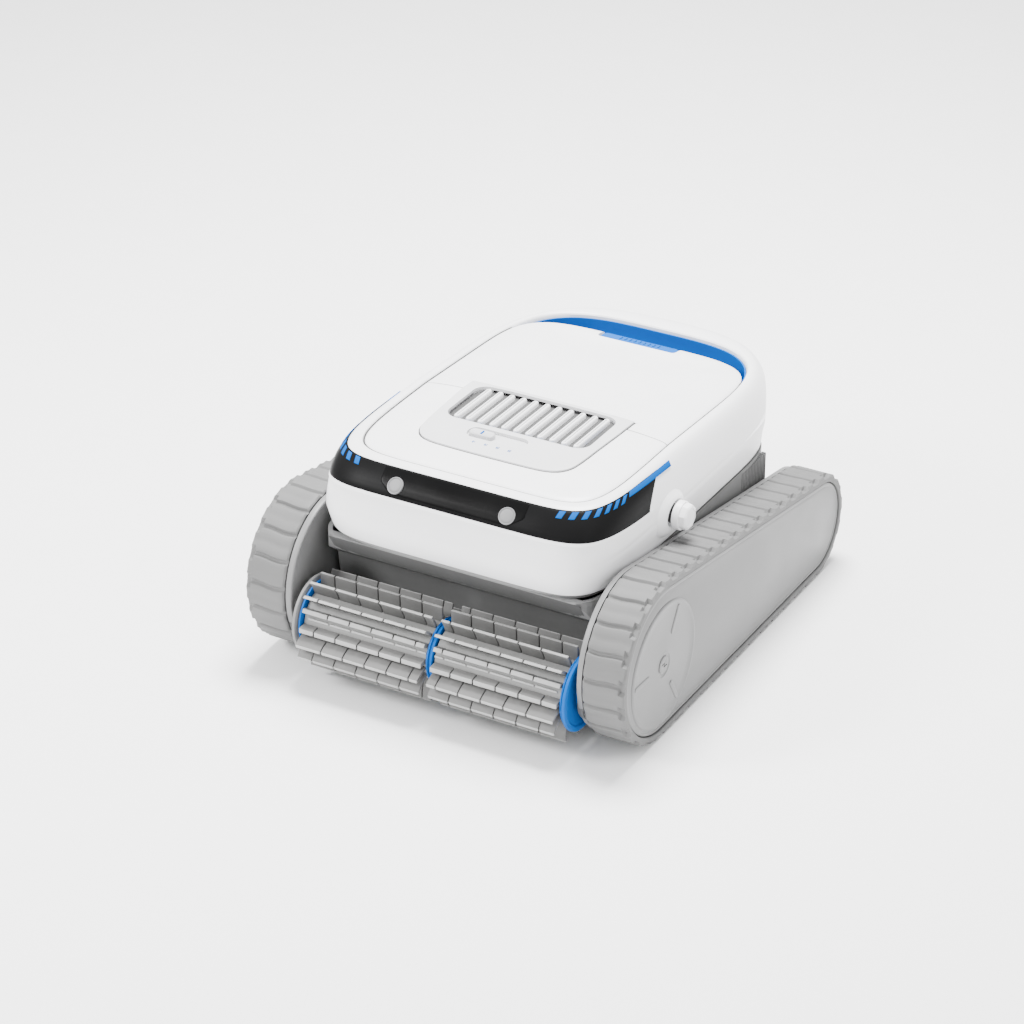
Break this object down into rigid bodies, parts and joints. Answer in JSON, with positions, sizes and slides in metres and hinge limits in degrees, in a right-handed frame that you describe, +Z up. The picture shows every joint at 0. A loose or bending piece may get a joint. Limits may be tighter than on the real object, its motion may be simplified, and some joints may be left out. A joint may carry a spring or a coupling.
{
  "type": "robotic pool cleaner",
  "caption": "Tracked cordless robotic pool cleaner with a wide front scrubbing brush, a hinged rear debris lid with latch, a top outlet grille and a rear carry handle.",
  "frame": {"origin": "on the ground, at the centre of the overall length and width", "axes": "+X across the machine, +Y from the brush at the front to the handle at the rear, +Z up"},
  "size_m": [0.4, 0.5039, 0.2301],
  "materials": {
    "shell_white": "satin white moulded plastic",
    "chassis_grey": "fine-textured grey moulded plastic",
    "dark_panel": "dark grey satin plastic",
    "visor_black": "smooth black plastic",
    "lens_grey": "frosted sensor window",
    "light_blue": "blue translucent light window",
    "accent_blue": "blue satin plastic",
    "panel_grey": "light grey satin plastic",
    "frame_grey": "mid grey satin plastic",
    "cover_grey": "light grey satin plastic",
    "belt_rubber": "light grey moulded rubber",
    "brush_rubber": "grey flexible rubber",
    "rubber_dark": "black rubber",
    "mesh_dark": "fine woven mesh",
    "board_green": "circuit board",
    "steel": "turned steel"
  },
  "bodies": {
    "chassis": {"base_tray": "chassis_grey", "front_panel": "dark_panel", "top_shell": "shell_white", "visor": "visor_black", "lens_left": "lens_grey", "lens_right": "lens_grey", "light_bar_left": "light_blue", "light_bar_right": "light_blue", "top_deck": "shell_white", "control_panel": "panel_grey", "outlet_duct": "chassis_grey", "grille": "shell_white", "handle_liner": "accent_blue", "lid_seal": "rubber_dark", "hinge_pin_left": "steel", "hinge_pin_right": "steel", "side_frame_left": "frame_grey", "side_frame_right": "frame_grey", "track_belt_left": "belt_rubber", "track_belt_right": "belt_rubber", "side_cover_left": "cover_grey", "side_cover_right": "cover_grey", "axle_front_left": "steel", "axle_front_right": "steel", "axle_rear_left": "steel", "axle_rear_right": "steel", "drive_motor_left": "steel", "drive_motor_right": "steel", "pump_motor": "steel", "battery_pack": "dark_panel", "control_board": "board_green", "intake_duct": "chassis_grey", "filter_basket": "frame_grey", "filter_mesh": "mesh_dark", "port_boss": "shell_white", "charge_port": "dark_panel"},
    "brush": {"brush_core": "chassis_grey", "brush_fins_left": "brush_rubber", "brush_fins_right": "brush_rubber", "brush_ring": "accent_blue", "brush_disc_left": "accent_blue", "brush_disc_right": "accent_blue"},
    "drive_left": {"drive_wheel_left": "chassis_grey"},
    "drive_right": {"drive_wheel_right": "chassis_grey"},
    "idler_left": {"idler_wheel_left": "chassis_grey"},
    "idler_right": {"idler_wheel_right": "chassis_grey"},
    "impeller": {"impeller": "chassis_grey"},
    "lid": {"rear_lid": "shell_white"},
    "latch": {"lid_latch": "accent_blue"},
    "slider": {"mode_slider": "panel_grey"},
    "flap": {"inlet_flap": "rubber_dark"},
    "cap": {"port_cap": "shell_white"}
  },
  "joints": [
    {"name": "brush_spin", "type": "hinge", "parent": "chassis", "child": "brush", "pos_m": [0, -0.2, 0.058], "axis": [1, 0, 0], "continuous": true},
    {"name": "drive_left_spin", "type": "hinge", "parent": "chassis", "child": "drive_left", "pos_m": [-0.172, -0.15, 0.081], "axis": [1, 0, 0], "continuous": true},
    {"name": "drive_right_spin", "type": "hinge", "parent": "chassis", "child": "drive_right", "pos_m": [0.172, -0.15, 0.081], "axis": [1, 0, 0], "continuous": true},
    {"name": "idler_left_spin", "type": "hinge", "parent": "chassis", "child": "idler_left", "pos_m": [-0.172, 0.186, 0.055], "axis": [1, 0, 0], "continuous": true},
    {"name": "idler_right_spin", "type": "hinge", "parent": "chassis", "child": "idler_right", "pos_m": [0.172, 0.186, 0.055], "axis": [1, 0, 0], "continuous": true},
    {"name": "impeller_spin", "type": "hinge", "parent": "chassis", "child": "impeller", "pos_m": [0, -0.038, 0.165], "axis": [0, 0, 1], "continuous": true},
    {"name": "lid_hinge", "type": "hinge", "parent": "chassis", "child": "lid", "pos_m": [0, -0.0085, 0.2215], "axis": [1, 0, 0], "range_deg": [0, 75]},
    {"name": "latch_slide", "type": "slide", "parent": "lid", "child": "latch", "axis": [0, -1, 0], "range_m": [0, 0.004], "stiffness_N_per_m": 200},
    {"name": "mode_slide", "type": "slide", "parent": "chassis", "child": "slider", "axis": [1, 0, 0], "range_m": [0, 0.03]},
    {"name": "flap_hinge", "type": "hinge", "parent": "chassis", "child": "flap", "pos_m": [0, 0.038, 0.076], "axis": [1, 0, 0], "range_deg": [0, 60]},
    {"name": "cap_turn", "type": "hinge", "parent": "chassis", "child": "cap", "pos_m": [0.164, -0.047, 0.171], "axis": [1, 0, 0], "range_deg": [0, 90]}
  ],
  "couplings": [
    {"joint": "idler_left_spin", "follows": "drive_left_spin", "ratio": 1.5652},
    {"joint": "idler_right_spin", "follows": "drive_right_spin", "ratio": 1.5652}
  ]
}
